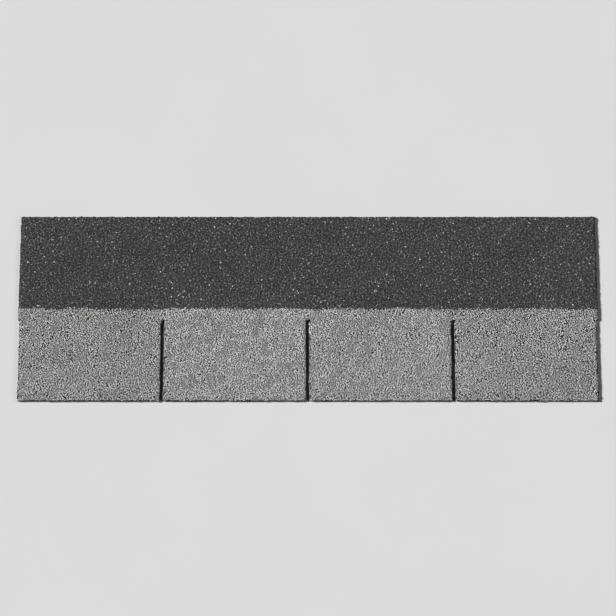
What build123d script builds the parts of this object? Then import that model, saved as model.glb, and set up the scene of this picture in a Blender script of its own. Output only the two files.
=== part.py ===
# Asphalt strip shingle with four square-butt tabs, one piece of granule-surfaced bitumen sheet.
#
# Frame, in millimetres: X runs along the strip, Y up the roof slope from the butt edge to the
# top edge, Z out of the roof. The origin is the middle of the underside, so the sheet lies on
# Z = 0 and its weather face is at Z = THICKNESS.
#
# The sheet is die-cut flat from one web. Three full slots divide its lower edge into four tabs.
# Each end has half a slot, so that two strips laid end to end leave one more slot of full width.

import os

from build123d import *

LENGTH = 1000.0  # along the course
HEIGHT = 336.0  # butt edge to top edge, up the slope
THICKNESS = 3.0  # over the granules
TABS = 4
PITCH = LENGTH / TABS  # slot to slot
SLOT_WIDTH = 6.4
SLOT_LENGTH = 145.0  # 2 mm more than the exposure, so that the next course covers its end
SLOT_CORNER = 1.6  # the punch's rounded inner corners
EXPOSURE = 143.0  # what shows of each course once laid

BUTT_Y = -HEIGHT / 2
TOP_Y = HEIGHT / 2
SLOT_END_Y = BUTT_Y + SLOT_LENGTH

# The outline of the strip, before the slots are punched.
with BuildSketch(Plane.XY) as outline:
    Rectangle(LENGTH, HEIGHT)

    # Full slots between the tabs, open at the butt edge.
    slot_xs = [-LENGTH / 2 + PITCH * i for i in range(1, TABS)]
    for x in slot_xs:
        with BuildSketch(Plane.XY, mode=Mode.PRIVATE) as slot:
            with Locations((x, BUTT_Y + (SLOT_LENGTH - 10.0) / 2)):
                Rectangle(SLOT_WIDTH, SLOT_LENGTH + 10.0)
            inner = slot.vertices().group_by(Axis.Y)[-1]
            fillet(inner, SLOT_CORNER)
        add(slot.sketch, mode=Mode.SUBTRACT)

    # Half a slot at each end, with the one inner corner rounded.
    for side in (-1, 1):
        with BuildSketch(Plane.XY, mode=Mode.PRIVATE) as half:
            with Locations((side * LENGTH / 2, BUTT_Y + (SLOT_LENGTH - 10.0) / 2)):
                Rectangle(SLOT_WIDTH, SLOT_LENGTH + 10.0)
            inner = half.vertices().group_by(Axis.Y)[-1]
            fillet(inner, SLOT_CORNER)
        add(half.sketch, mode=Mode.SUBTRACT)

with BuildPart() as strip:
    add(outline.sketch)
    extrude(amount=THICKNESS)

shingle_strip = strip.part
shingle_strip.label = "shingle_strip"

os.makedirs("parts", exist_ok=True)
export_step(shingle_strip, "parts/shingle_strip.step")

size = shingle_strip.bounding_box().size
print("size mm:", round(size.X, 3), round(size.Y, 3), round(size.Z, 3))
print("solids:", len(shingle_strip.solids()), "volume cm3:", round(shingle_strip.volume / 1000, 2))
print("tab width mm:", PITCH - SLOT_WIDTH, "headlap height mm:", TOP_Y - SLOT_END_Y)
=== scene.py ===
# An asphalt strip shingle lying flat: real granules on a cut bitumen sheet, on a pale floor.
#
# X runs along the strip, Y up the slope from the butt edge to the top edge, Z out of the weather
# face, in metres. Lengths named _MM are in millimetres.

import math
from types import SimpleNamespace

import bpy
import numpy as np
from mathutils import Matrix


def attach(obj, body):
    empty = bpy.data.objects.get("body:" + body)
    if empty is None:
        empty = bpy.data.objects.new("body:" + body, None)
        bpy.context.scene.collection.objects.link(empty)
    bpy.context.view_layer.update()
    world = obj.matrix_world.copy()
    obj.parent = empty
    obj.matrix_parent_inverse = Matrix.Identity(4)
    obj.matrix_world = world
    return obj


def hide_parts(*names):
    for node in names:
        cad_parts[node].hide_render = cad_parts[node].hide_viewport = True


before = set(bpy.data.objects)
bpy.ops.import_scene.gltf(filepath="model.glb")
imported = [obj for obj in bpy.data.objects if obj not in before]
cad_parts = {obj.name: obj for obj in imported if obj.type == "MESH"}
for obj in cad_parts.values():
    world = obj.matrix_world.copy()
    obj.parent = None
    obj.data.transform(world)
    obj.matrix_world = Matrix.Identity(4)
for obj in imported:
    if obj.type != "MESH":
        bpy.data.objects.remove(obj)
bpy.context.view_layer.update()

MM = 0.001
LENGTH_MM = 1000.0
HEIGHT_MM = 336.0
SLOT_MM = 6.4
SLOT_LENGTH_MM = 145.0
PITCH_MM = 250.0
SLOTS_MM = np.array([-500.0, -250.0, 0.0, 250.0, 500.0])
BUTT_MM = -HEIGHT_MM / 2
SLOT_END_MM = BUTT_MM + SLOT_LENGTH_MM
PALE_MM = 166.0  # the light granules reach this far above the butt edge, past the exposed 143 mm
SHEET_MM = 1.8  # coated mat under the granules
PALE_GRAIN_MM = 1.40  # middle to middle of two granules on the exposed part
DARK_GRAIN_MM = 1.9  # and on the headlap
SPLIT_MM = 168.5  # where the two kinds' pieces meet, above the butt edge
BLACK_SHARE = [0.28, 0.20, 0.235, 0.315]  # of black granules in each tab's blend
WOBBLE_MM = 0.60  # how far the cut strays
CRUMBLE_MM = 3.00  # and how far the granules have broken off it on the right side of each slot


# ---------------------------------------------------------------- smooth noise and the outline


def waves(seed, shortest, longest, count=28):
    """A smooth random field of the plane, about -1 to 1, made of waves of these lengths in millimetres."""
    r = np.random.default_rng(seed)
    turn = r.uniform(0, 2 * np.pi, count)
    long = np.exp(r.uniform(np.log(shortest), np.log(longest), count))
    phase = r.uniform(0, 2 * np.pi, count)
    kx, ky = 2 * np.pi * np.cos(turn) / long, 2 * np.pi * np.sin(turn) / long

    def field(x, y):
        total = np.zeros(np.shape(x))
        for a, b, p in zip(kx, ky, phase):
            total += np.sin(a * x + b * y + p)
        return total * (2 / count) ** 0.5 / 1.5

    return field


cut_wave, crumble_wave = waves(3, 2.8, 14.0), waves(8, 4.5, 15.0)


def right_side(x, y):
    """1 along the right side of each slot, the rougher one, and 0 away from it."""
    past = np.asarray(x)[..., None] - SLOTS_MM
    right = np.where(past > 0, np.exp(-(((past - SLOT_MM / 2) / 8.0) ** 2)), 0).sum(-1)
    return right * ((y - BUTT_MM) / 4).clip(0, 1) * ((SLOT_END_MM - y) / 6).clip(0, 1)


def cut_stray(x, y):
    """How far the sheet's cut runs outside its line here, in millimetres."""
    return WOBBLE_MM * cut_wave(x, y) + 0.5 * right_side(x, y)


def crumbled(x, y):
    """How far the granules stand over the sheet's cut here, or where it is negative, have broken off it."""
    return right_side(x, y) * (0.7 + CRUMBLE_MM * crumble_wave(x, y)).clip(-2.8, 0.9)


def depth_inside(x, y):
    """How far a point of the plane is inside the strip's outline, in millimetres, negative outside it."""
    depth = np.minimum(LENGTH_MM / 2 - np.abs(x), HEIGHT_MM / 2 - np.abs(y))
    for s in SLOTS_MM:
        across = np.abs(x - s) - SLOT_MM / 2
        above = y - SLOT_END_MM
        corner = np.hypot(np.maximum(across, 0), np.maximum(above, 0))
        away = np.where((across > 0) & (above > 0), corner, np.maximum(across, above))
        depth = np.minimum(depth, away)
    return depth


# ---------------------------------------------------------------- a honeycomb of granules
# Each cell is one granule: six corners down in the bitumen, and a peak off its middle. Corners
# are shared, so the granules of one piece are one closed skin.

swell = waves(21, 18.0, 90.0)
border_drift = waves(31, 25.0, 160.0)
mottle_fine, mottle_broad = waves(41, 9.0, 60.0, 60), waves(42, 60.0, 300.0)
blend_drift = waves(51, 9.0, 50.0, 60)


def cut_depth(x, y):
    """The same from the granules' own edge, which runs in and out a little."""
    return depth_inside(x, y) + cut_stray(x, y) + crumbled(x, y)


def rolled(x, y):
    """How far the cut presses the surface down near an edge: a short shoulder, and a faint slope behind it."""
    depth = cut_depth(x, y)
    return 0.36 * (1 - depth / 1.7).clip(0, 1) ** 2 + 0.25 * (1 - depth / 4.6).clip(0, 1) ** 1.4


def spread_out(values, side, near, far):
    """Even ranks from 0 to 1 for a honeycomb of random values, each pushed away from those of the
    two granules at its sides, of all six about it, and of the twelve behind them."""
    row = np.arange(len(values))[:, None]

    def beside(v):
        total = np.roll(v, 1, 1) + np.roll(v, -1, 1)
        for turn in (1, -1):
            other = np.roll(v, turn, 0)
            total += other + np.where(row % 2 == 0, np.roll(other, 1, 1), np.roll(other, -1, 1))
        return total

    first = beside(values)
    behind = beside(first) - 6 * values - 2 * first
    sides = np.roll(values, 1, 1) + np.roll(values, -1, 1)
    apart = (values - side * sides / 2 - near * first / 6 - far * behind / 18).ravel()
    return (np.argsort(np.argsort(apart)) + 0.5) / apart.size


def honeycomb(spacing, low_y, high_y, seed):
    """Granules over the strip's length between two heights up the slope. Each row is half a step off the last."""
    rng = np.random.default_rng(seed)
    h = SimpleNamespace(spacing=spacing)
    r = spacing / math.sqrt(3)
    rows = int((high_y - low_y) / (1.5 * r)) + 4
    columns = int(LENGTH_MM / spacing) + 4
    x0, y0 = -LENGTH_MM / 2 - 1.5 * spacing, low_y - 1.5 * r

    # Middles, counted in half steps, and corners, which lie on a zigzag under each row.
    row, column = np.meshgrid(np.arange(rows), np.arange(columns), indexing="ij")
    step = 2 * column + (row % 2) + 1
    mid_x = (x0 + step * spacing / 2).ravel()
    mid_y = (y0 + row * 1.5 * r).ravel()
    steps = 2 * columns + 3
    zigzag, at = np.meshgrid(np.arange(rows + 1), np.arange(steps), indexing="ij")
    low = (at % 2) == ((zigzag % 2) + 1) % 2
    x = (x0 + at * spacing / 2).ravel()
    y = (y0 + zigzag * 1.5 * r - np.where(low, r, r / 2)).ravel()
    under, over = row * steps + step, (row + 1) * steps + step
    h.ring = np.stack([under, under + 1, over + 1, over, over - 1, under - 1], -1).reshape(-1, 6)
    n = len(mid_x)

    # Large granules push their corners out, small ones draw them in, and none is in line.
    size = rng.normal(0, 1, n).clip(-2, 2)
    push = np.zeros((len(x), 2))
    for c in range(6):
        at = h.ring[:, c]
        out = np.stack([x[at] - mid_x, y[at] - mid_y], 1)
        np.add.at(push, at, out * (size * 0.17)[:, None])
    push += rng.normal(0, 0.085 * spacing, push.shape).clip(-0.2 * spacing, 0.2 * spacing)
    flow_x, flow_y = waves(seed + 1, 6.0, 30.0), waves(seed + 2, 6.0, 30.0)
    flow = np.stack([flow_x(x, y), flow_y(x, y)], 1) * 0.55  # millimetres

    def smallest_face(px, py):
        """The area of each granule's smallest face about this point of it, seen from above."""
        ax, ay = h.x[h.ring] - px[:, None], h.y[h.ring] - py[:, None]
        return (ax * np.roll(ay, -1, 1) - ay * np.roll(ax, -1, 1)).min(1) / 2

    # Where that would fold a granule over, its corners give way.
    give = np.ones((len(x), 1))
    for _ in range(12):
        h.x, h.y = (np.stack([x, y], 1) + flow + push * give).T
        h.mid_x, h.mid_y = h.x[h.ring].mean(1), h.y[h.ring].mean(1)
        folded = smallest_face(h.mid_x, h.mid_y) < 0.03 * spacing**2
        give[np.unique(h.ring[folded])] *= 0.7
    lean = rng.normal(0, 0.13 * spacing, (2, n)).clip(-0.27 * spacing, 0.27 * spacing)
    for _ in range(6):
        h.peak_x, h.peak_y = h.mid_x + lean[0], h.mid_y + lean[1]
        lean *= np.where(smallest_face(h.peak_x, h.peak_y) < 0.012 * spacing**2, 0.6, 1.0)

    h.z = (
        2.40
        + rng.uniform(-0.09, 0.12, len(h.x))
        + 0.04 * swell(h.x, h.y)
        - rolled(h.x, h.y)
    )
    h.peak_z = (
        2.82
        + 0.09 * size
        + rng.normal(0, 0.08, n).clip(-0.2, 0.2)
        + 0.04 * swell(h.peak_x, h.peak_y)
        - rolled(h.peak_x, h.peak_y)
    ).clip(2.2, 3.12)
    h.kept = cut_depth(h.mid_x, h.mid_y) > spacing * rng.uniform(0.08, 0.80, n)
    h.round = rng.random(n) < 0.45  # worn smooth, where the others show their broken faces

    # Tones are linear albedo. The exposed part is a blend of pale, grey and black granules, the
    # headlap has dark slag, and the two mix a little at their border. The blend drifts along the
    # web as it is made, so tabs differ, and clumps give a mottle: here more black and pale ones
    # together, there more grey ones.
    up = h.mid_y - BUTT_MM
    border = PALE_MM + 1.1 * border_drift(h.mid_x, h.mid_y * 0) + rng.normal(0, 1.3, n)
    stray = rng.random(n)
    pale = np.where(up < border, stray > 0.003, stray < 0.010)
    black = np.interp(
        h.mid_x,
        [-500, -268, -232, -18, 18, 232, 268, 500],
        np.repeat(BLACK_SHARE, 2),
    )
    vivid = (1.00 + 0.205 / black * blend_drift(h.mid_x, h.mid_y)).clip(0.25, 1.9)
    black *= vivid
    kind = spread_out(rng.random((rows, columns)), 0.35, 0.10, 0.60)
    rest = ((kind - black) / (1 - black)).clip(0.002, 1)  # of the granules that aren't black
    middling = (rest / (1 - 0.425 * vivid)).clip(0.002, 0.998)
    grey = np.select(
        [kind < black, rest < 1 - 0.425 * vivid, rest < 1 - 0.145 * vivid],
        [
            0.031 * np.exp(rng.normal(0, 0.25, n)),
            0.272 * np.exp(0.34 * vivid**0.5 * np.log(middling / (1 - middling)).clip(-4, 4)),
            0.66 * np.exp(rng.normal(0, 0.10, n)),
        ],
        0.84 * np.exp(rng.normal(0, 0.04, n)),
    )
    rank = spread_out(rng.random((rows, columns)), 0.10, 0.10, 0.45).clip(0.002, 0.998)
    slag = np.where(
        rank < 0.9,
        0.067 * np.exp(0.25 * np.log(rank / (1.001 - rank / 0.9)).clip(-4, 4)),
        0.19 * np.exp(rng.normal(0, 0.3, n)),
    )
    mottle = 1 + 0.036 * mottle_fine(h.mid_x, h.mid_y) + 0.055 * mottle_broad(h.mid_x, h.mid_y)
    h.tone = (np.where(pale, grey, slag) * mottle).clip(0.012, 0.85)
    return h


# ---------------------------------------------------------------- materials


def new_material(name):
    m = bpy.data.materials.new(name)
    m.use_nodes = True
    nodes = m.node_tree.nodes
    nodes.clear()
    out = nodes.new("ShaderNodeOutputMaterial")
    bsdf = nodes.new("ShaderNodeBsdfPrincipled")
    m.node_tree.links.new(bsdf.outputs["BSDF"], out.inputs["Surface"])
    return m, nodes, m.node_tree.links, bsdf


def number(nodes, links, op, a, b=None, clamp=False):
    n = nodes.new("ShaderNodeMath")
    n.operation = op
    n.use_clamp = clamp
    for socket, value in zip(n.inputs, (a, b)):
        if value is None:
            continue
        if isinstance(value, (int, float)):
            socket.default_value = value
        else:
            links.new(value, socket)
    return n.outputs[0]


def noise(nodes, links, coords, scale, detail=2.0, rough=0.5):
    n = nodes.new("ShaderNodeTexNoise")
    n.inputs["Scale"].default_value = scale
    n.inputs["Detail"].default_value = detail
    n.inputs["Roughness"].default_value = rough
    links.new(coords, n.inputs["Vector"])
    return n.outputs["Fac"]


def ramp(nodes, links, value, stops):
    n = nodes.new("ShaderNodeValToRGB")
    elements = n.color_ramp.elements
    while len(elements) < len(stops):
        elements.new(0.5)
    for e, (at, level) in zip(elements, stops):
        e.position = at
        e.color = (level, level, level, 1)
    links.new(value, n.inputs["Fac"])
    return n.outputs["Color"]


def granule_material():
    """Ceramic-coated crushed stone: each granule's own tone, darker where it sinks into the bitumen, with a mineral grain."""
    m, nodes, links, bsdf = new_material("mineral_granules")
    coords = nodes.new("ShaderNodeTexCoord").outputs["Object"]
    tone_at = nodes.new("ShaderNodeAttribute")
    tone_at.attribute_name = "granule_tone"
    rise_at = nodes.new("ShaderNodeAttribute")
    rise_at.attribute_name = "granule_rise"
    sunk = ramp(nodes, links, rise_at.outputs["Fac"], [(0.0, 0.10), (0.13, 0.34), (0.30, 1.0)])
    fine = noise(nodes, links, coords, 2600.0, 3.0, 0.6)
    fleck = number(nodes, links, "MULTIPLY_ADD", fine, 0.5)
    fleck.node.inputs[2].default_value = 0.75
    level = number(nodes, links, "MULTIPLY", tone_at.outputs["Fac"], sunk)
    level = number(nodes, links, "MULTIPLY", level, fleck)
    links.new(level, bsdf.inputs["Base Color"])
    links.new(ramp(nodes, links, fine, [(0.3, 0.68), (0.7, 0.95)]), bsdf.inputs["Roughness"])
    bsdf.inputs["Specular IOR Level"].default_value = 0.0  # dull all over, against the light too
    bump = nodes.new("ShaderNodeBump")
    bump.inputs["Strength"].default_value = 0.35
    bump.inputs["Distance"].default_value = 0.00012
    links.new(fine, bump.inputs["Height"])
    links.new(bump.outputs["Normal"], bsdf.inputs["Normal"])
    return m


def bitumen_material():
    """The cut edge: black filled bitumen, torn a little, with grey specks of filler and the mat's fibres."""
    m, nodes, links, bsdf = new_material("cut_bitumen")
    coords = nodes.new("ShaderNodeTexCoord").outputs["Object"]
    torn = noise(nodes, links, coords, 700.0, 5.0, 0.65)
    specks = noise(nodes, links, coords, 2400.0, 2.0, 0.6)
    level = ramp(nodes, links, specks, [(0.0, 0.010), (0.60, 0.016), (0.72, 0.075), (1.0, 0.12)])
    links.new(level, bsdf.inputs["Base Color"])
    links.new(ramp(nodes, links, torn, [(0.3, 0.50), (0.7, 0.85)]), bsdf.inputs["Roughness"])
    bsdf.inputs["Specular IOR Level"].default_value = 0.12  # dusty, so it stays black under a low light
    bump = nodes.new("ShaderNodeBump")
    bump.inputs["Strength"].default_value = 0.6
    bump.inputs["Distance"].default_value = 0.0003
    links.new(torn, bump.inputs["Height"])
    links.new(bump.outputs["Normal"], bsdf.inputs["Normal"])
    return m


def back_material():
    """The underside: bitumen dusted with fine sand, so that sheets don't stick together."""
    m, nodes, links, bsdf = new_material("sanded_back")
    coords = nodes.new("ShaderNodeTexCoord").outputs["Object"]
    sand = noise(nodes, links, coords, 1500.0, 3.0, 0.7)
    cloud = noise(nodes, links, coords, 28.0, 4.0, 0.6)
    grains = ramp(nodes, links, sand, [(0.0, 0.018), (0.46, 0.026), (0.60, 0.085), (1.0, 0.19)])
    dusting = ramp(nodes, links, cloud, [(0.25, 0.72), (0.75, 1.15)])
    level = number(nodes, links, "MULTIPLY", grains, dusting)
    links.new(level, bsdf.inputs["Base Color"])
    links.new(ramp(nodes, links, sand, [(0.35, 0.7), (0.65, 0.95)]), bsdf.inputs["Roughness"])
    bump = nodes.new("ShaderNodeBump")
    bump.inputs["Strength"].default_value = 0.5
    bump.inputs["Distance"].default_value = 0.0002
    links.new(sand, bump.inputs["Height"])
    links.new(bump.outputs["Normal"], bsdf.inputs["Normal"])
    return m


granules = granule_material()
bitumen = bitumen_material()
back = back_material()

# ---------------------------------------------------------------- meshes


def mesh_object(name, points_mm, corners, sides, materials, material_at=None):
    """An object from flat arrays: the points, each face's corners one after another, and each face's number of corners."""
    me = bpy.data.meshes.new(name)
    me.vertices.add(len(points_mm))
    me.vertices.foreach_set("co", (points_mm * MM).astype(np.float32).ravel())
    me.loops.add(len(corners))
    me.loops.foreach_set("vertex_index", corners.astype(np.int32))
    me.polygons.add(len(sides))
    starts = np.concatenate([[0], np.cumsum(sides)[:-1]]).astype(np.int32)
    me.polygons.foreach_set("loop_start", starts)
    me.update(calc_edges=True)
    me.shade_flat()
    for m in materials:
        me.materials.append(m)
    if material_at is not None:
        me.polygons.foreach_set("material_index", material_at.astype(np.int32))
    me.validate()
    ob = bpy.data.objects.new(name, me)
    bpy.context.scene.collection.objects.link(ob)
    return ob


def loops_of(start, end):
    """Closed rings of points from directed edges, each point being the start of one edge."""
    following = dict(zip(start.tolist(), end.tolist()))
    rings = []
    while following:
        first, at = next(iter(following.items()))
        ring_points = [first]
        del following[first]
        while at != first:
            ring_points.append(at)
            at = following.pop(at)
        rings.append(ring_points)
    return rings


def granule_skin(name, h, cells):
    """The granules of these cells as one closed mesh: peaks, shared corners, a wall round them and a base in the bitumen."""
    rng = np.random.default_rng(len(cells))
    rings = h.ring[cells]
    used, corner = np.unique(rings, return_inverse=True)
    corner = corner.reshape(rings.shape)
    n, n_cells = len(used), len(cells)
    top = np.stack([h.x[used], h.y[used], h.z[used]], 1)
    peaks = np.stack([h.peak_x[cells], h.peak_y[cells], h.peak_z[cells]], 1)
    after = np.roll(corner, -1, 1)
    fans = np.stack(
        [corner, after, np.broadcast_to((n + np.arange(n_cells))[:, None], corner.shape)], -1
    ).reshape(-1, 3)

    # The outer edges are those with no twin running the other way.
    ends = np.stack([corner.ravel(), after.ravel()], 1)
    forward, backward = ends[:, 0] * n + ends[:, 1], ends[:, 1] * n + ends[:, 0]
    rim = ~np.isin(forward, backward)
    rim_from, rim_to = ends[rim, 0], ends[rim, 1]
    owner = np.repeat(np.arange(n_cells), 6)[rim]
    inward = np.zeros((n, 2))
    for end in (rim_from, rim_to):
        np.add.at(inward, end, peaks[owner, :2] - top[end, :2])
    on_rim = np.unique(rim_from)
    step = inward[on_rim]
    step /= np.maximum(np.linalg.norm(step, axis=1), 1e-9)[:, None]
    length = np.linalg.norm(top[rim_from, :2] - top[rim_to, :2], axis=1)
    room = np.full(n, 1.0)
    for end in (rim_from, rim_to):
        np.minimum.at(room, end, length)
    room[np.bincount(corner.ravel(), minlength=n) > 1] = 0  # where two granules meet, none
    foot_of = np.full(n, -1)
    foot_of[on_rim] = n + n_cells + np.arange(len(on_rim))
    feet = np.concatenate(
        [
            top[on_rim, :2] + step * (0.22 * room[on_rim])[:, None],
            (1.66 + rng.uniform(-0.08, 0.08, len(on_rim)))[:, None],
        ],
        1,
    )
    walls = np.stack([rim_to, rim_from, foot_of[rim_from], foot_of[rim_to]], 1)
    floors = [[foot_of[p] for p in reversed(r)] for r in loops_of(rim_from, rim_to)]

    points = np.concatenate([top, peaks, feet])
    corners = np.concatenate([fans.ravel(), walls.ravel()] + [np.array(f) for f in floors])
    sides = np.concatenate(
        [np.full(len(fans), 3), np.full(len(walls), 4), [len(f) for f in floors]]
    ).astype(int)
    ob = mesh_object(name, points, corners, sides, [granules])
    me = ob.data

    # The smooth granules are smooth from face to face, but not across to the next granule.
    smooth = np.concatenate([np.repeat(h.round[cells], 6), np.zeros(len(walls) + len(floors), bool)])
    me.polygons.foreach_set("use_smooth", smooth)
    ends = np.empty(2 * len(me.edges), np.int32)
    me.edges.foreach_get("vertices", ends)
    to_peak = ((ends >= n) & (ends < n + n_cells)).reshape(-1, 2).any(1)
    me.edges.foreach_set("use_edge_sharp", ~to_peak)

    base_tone = 0.02
    tone = h.tone[cells]
    face_tone = np.concatenate(
        [np.repeat(tone, 6), tone[owner] * 0.6, np.full(len(floors), base_tone)]
    )
    me.attributes.new("granule_tone", "FLOAT", "FACE").data.foreach_set(
        "value", face_tone.astype(np.float32)
    )
    rise = np.concatenate(
        [
            np.tile([0.0, 0.0, 1.0], len(fans)),
            np.tile([0.35, 0.35, 0.0, 0.0], len(walls)),
            np.zeros(sum(len(f) for f in floors)),
        ]
    )
    me.attributes.new("granule_rise", "FLOAT", "CORNER").data.foreach_set(
        "value", rise.astype(np.float32)
    )

    # One map for the whole piece: the top as seen from above, its walls unrolled in rows beside it,
    # and its hidden base small in a corner.
    low_xy, high_xy = points[:, :2].min(0), points[:, :2].max(0)
    wide = (high_xy - low_xy).max()
    scale = 0.985 / wide
    margin = 0.0075
    flat = (points[:, :2] - low_xy) * scale + margin
    uv = flat[corners]
    first_wall = len(fans) * 3
    rise_mm = 1.4
    along_wall = np.concatenate([[0], np.cumsum(length)])
    per_row = wide * 0.985
    row = (along_wall[:-1] // per_row).astype(int)
    start_u = along_wall[:-1] - row * per_row
    shelf = (high_xy[1] - low_xy[1]) * scale + 3 * margin
    row_v = shelf + row * (rise_mm + 1.2) * scale
    a = start_u * scale + margin
    b = (start_u + length) * scale + margin
    wall_uv = np.stack(
        [
            np.stack([b, row_v + rise_mm * scale], 1),
            np.stack([a, row_v + rise_mm * scale], 1),
            np.stack([a, row_v], 1),
            np.stack([b, row_v], 1),
        ],
        1,
    ).reshape(-1, 2)
    uv[first_wall : first_wall + len(wall_uv)] = wall_uv
    base_from = first_wall + len(wall_uv)
    small = 0.12
    uv[base_from:] = (points[corners[base_from:], :2] - low_xy) / wide * small + (
        0.86,
        0.985 - small * (high_xy[1] - low_xy[1]) / wide,
    )
    layer = me.uv_layers.new(name="OFBake")
    layer.data.foreach_set("uv", uv.clip(0, 1).astype(np.float32).ravel())

    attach(ob, "root")
    return ob, len(fans) + 2 * len(walls)


light = honeycomb(PALE_GRAIN_MM, BUTT_MM, BUTT_MM + SPLIT_MM, 100)
dark = honeycomb(DARK_GRAIN_MM, BUTT_MM + SPLIT_MM, HEIGHT_MM / 2, 200)
light.kept &= light.mid_y < BUTT_MM + SPLIT_MM
dark.kept &= dark.mid_y > BUTT_MM + SPLIT_MM - 0.3 * DARK_GRAIN_MM
count = 0
for tab in range(4):
    for zone, h in (("granules_tab", light), ("granules_headlap", dark)):
        tab_of = ((h.mid_x + LENGTH_MM / 2) // PITCH_MM).clip(0, 3).astype(int)
        ob, faces = granule_skin(f"{zone}_{tab + 1}", h, np.nonzero(h.kept & (tab_of == tab))[0])
        count += faces


# ---------------------------------------------------------------- the coated sheet under them


def outline_points(spacing):
    """The outline, anticlockwise from above, as points with their outward directions."""
    h, butt, top_y, end = LENGTH_MM / 2, BUTT_MM, HEIGHT_MM / 2, SLOT_END_MM
    w, r = SLOT_MM / 2, 1.6
    path = [(-h + w, butt)]
    for s in (-250.0, 0.0, 250.0):
        path += [(s - w, butt), (s - w, end - r), (s - w + r * 0.3, end - r * 0.3), (s - w + r, end)]
        path += [(s + w - r, end), (s + w - r * 0.3, end - r * 0.3), (s + w, end - r), (s + w, butt)]
    path += [(h - w, butt), (h - w, end - r), (h - w + r * 0.3, end - r * 0.3), (h - w + r, end)]
    path += [(h, end), (h, top_y), (-h, top_y), (-h, end)]
    path += [(-h + w - r, end), (-h + w - r * 0.3, end - r * 0.3), (-h + w, end - r)]
    path = np.array(path)
    points, outs = [], []
    for p, q in zip(path, np.roll(path, -1, 0)):
        run = np.linalg.norm(q - p)
        n = max(1, round(run / spacing))
        t = (np.arange(n) / n)[:, None]
        points.append(p + (q - p) * t)
        away = np.array([q[1] - p[1], p[0] - q[0]]) / run
        outs.append(np.tile(away, (n, 1)))
    points, outs = np.concatenate(points), np.concatenate(outs)
    both = outs + np.roll(outs, 1, 0)  # at a corner the two sides' directions meet
    return points, both / np.linalg.norm(both, axis=1)[:, None]


def bitumen_sheet():
    rng = np.random.default_rng(7)
    edge, out = outline_points(1.1)
    n = len(edge)
    wobble = cut_stray(edge[:, 0], edge[:, 1])
    levels = [(0.0, -0.16), (0.22, 0.0), (0.75, 0.04), (1.1, -0.12), (1.45, 0.03), (SHEET_MM, -0.2)]
    rows = []
    for z, shift in levels:
        rough = rng.normal(0, 0.055, n).clip(-0.12, 0.12) if 0 < z < SHEET_MM else 0
        xy = edge + out * (shift + wobble + rough)[:, None]
        rows.append(np.concatenate([xy, np.full((n, 1), z)], 1))
    points = np.concatenate(rows)
    here = np.arange(n)
    there = np.roll(here, -1)
    walls = np.concatenate(
        [
            np.stack([k * n + here, k * n + there, (k + 1) * n + there, (k + 1) * n + here], 1)
            for k in range(len(levels) - 1)
        ]
    )
    under, over = here[::-1], (len(levels) - 1) * n + here
    corners = np.concatenate([walls.ravel(), under, over])
    sides = np.concatenate([np.full(len(walls), 4), [n, n]]).astype(int)
    material_at = np.concatenate([np.zeros(len(walls)), [1, 0]])
    ob = mesh_object("bitumen_sheet", points, corners, sides, [bitumen, back], material_at)
    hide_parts("shingle_strip")
    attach(ob, "root")
    return ob, len(walls) * 2 + 2 * n


sheet, faces = bitumen_sheet()
count += faces
print("granules", int(light.kept.sum()), int(dark.kept.sum()), "triangles about", count)

# ---------------------------------------------------------------- floor, light and camera


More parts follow.
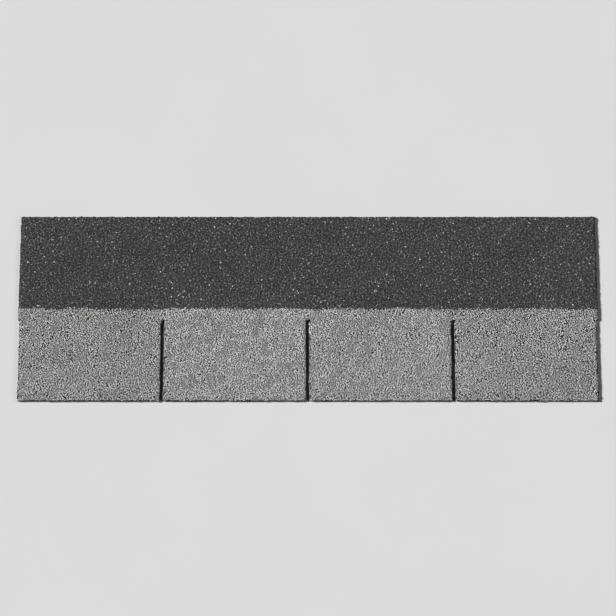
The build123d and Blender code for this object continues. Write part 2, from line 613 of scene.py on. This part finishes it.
def stage():
    """A wide pale floor. Far off it meets a band of the same tone in the sky, for the low views."""
    around, radius = 128, 31.0
    me = bpy.data.meshes.new("studio_floor")
    me.from_pydata(
        [
            (radius * math.cos(2 * math.pi * k / around), radius * math.sin(2 * math.pi * k / around), 0.0)
            for k in range(around)
        ],
        [],
        [tuple(range(around))],
    )
    m, nodes, links, bsdf = new_material("pale_floor")
    coords = nodes.new("ShaderNodeTexCoord").outputs["Object"]
    cloud = noise(nodes, links, coords, 3.0, 3.0, 0.5)
    links.new(ramp(nodes, links, cloud, [(0.2, 0.62), (0.8, 0.64)]), bsdf.inputs["Base Color"])
    bsdf.inputs["Roughness"].default_value = 1.0
    bsdf.inputs["Specular IOR Level"].default_value = 0.0
    me.materials.append(m)
    ob = bpy.data.objects.new("studio_floor", me)
    bpy.context.scene.collection.objects.link(ob)

    world = bpy.data.worlds.new("studio")
    world.use_nodes = True
    nodes, links = world.node_tree.nodes, world.node_tree.links
    way = nodes.new("ShaderNodeTexCoord").outputs["Generated"]
    parts = nodes.new("ShaderNodeSeparateXYZ")
    links.new(way, parts.inputs[0])
    sky = ramp(nodes, links, parts.outputs["Z"], [(0.0, 0.71), (0.075, 0.71), (0.14, SKY), (1.0, SKY)])
    links.new(sky, nodes["Background"].inputs["Color"])
    nodes["Background"].inputs["Strength"].default_value = 1.0
    bpy.context.scene.world = world


SKY = 0.006
stage()


def sun(name, azimuth, elevation, strength, width):
    """A broad distant light from this compass direction, 0 from +X and 90 from +Y, in degrees."""
    data = bpy.data.lights.new(name, "SUN")
    data.energy = strength
    data.angle = math.radians(width)
    ob = bpy.data.objects.new(name, data)
    a, e = math.radians(azimuth), math.radians(elevation)
    from mathutils import Vector

    back_to = Vector((math.cos(a) * math.cos(e), math.sin(a) * math.cos(e), math.sin(e)))
    ob.rotation_mode = "QUATERNION"
    ob.rotation_quaternion = back_to.to_track_quat("Z", "Y")
    bpy.context.scene.collection.objects.link(ob)


# Both lights are low, so that they rake the granules and leave the slots dark.
sun("key", 162.0, 17.0, 10.7, 6.0)
sun("fill", -14.0, 16.0, 1.35, 8.0)

camera = bpy.data.cameras.new("camera")
camera.sensor_width = 36.0
camera.lens = 174.0
camera.clip_start, camera.clip_end = 0.1, 100.0
eye = bpy.data.objects.new("camera", camera)
elevation, distance = math.radians(71.0), 5.14
eye.location = (0.0, -distance * math.cos(elevation), distance * math.sin(elevation) + 0.0015)
eye.rotation_euler = (math.pi / 2 - elevation, 0.0, 0.0)
bpy.context.scene.collection.objects.link(eye)
bpy.context.scene.camera = eye

bpy.context.scene.view_settings.view_transform = "Standard"
bpy.context.scene.view_settings.look = "None"
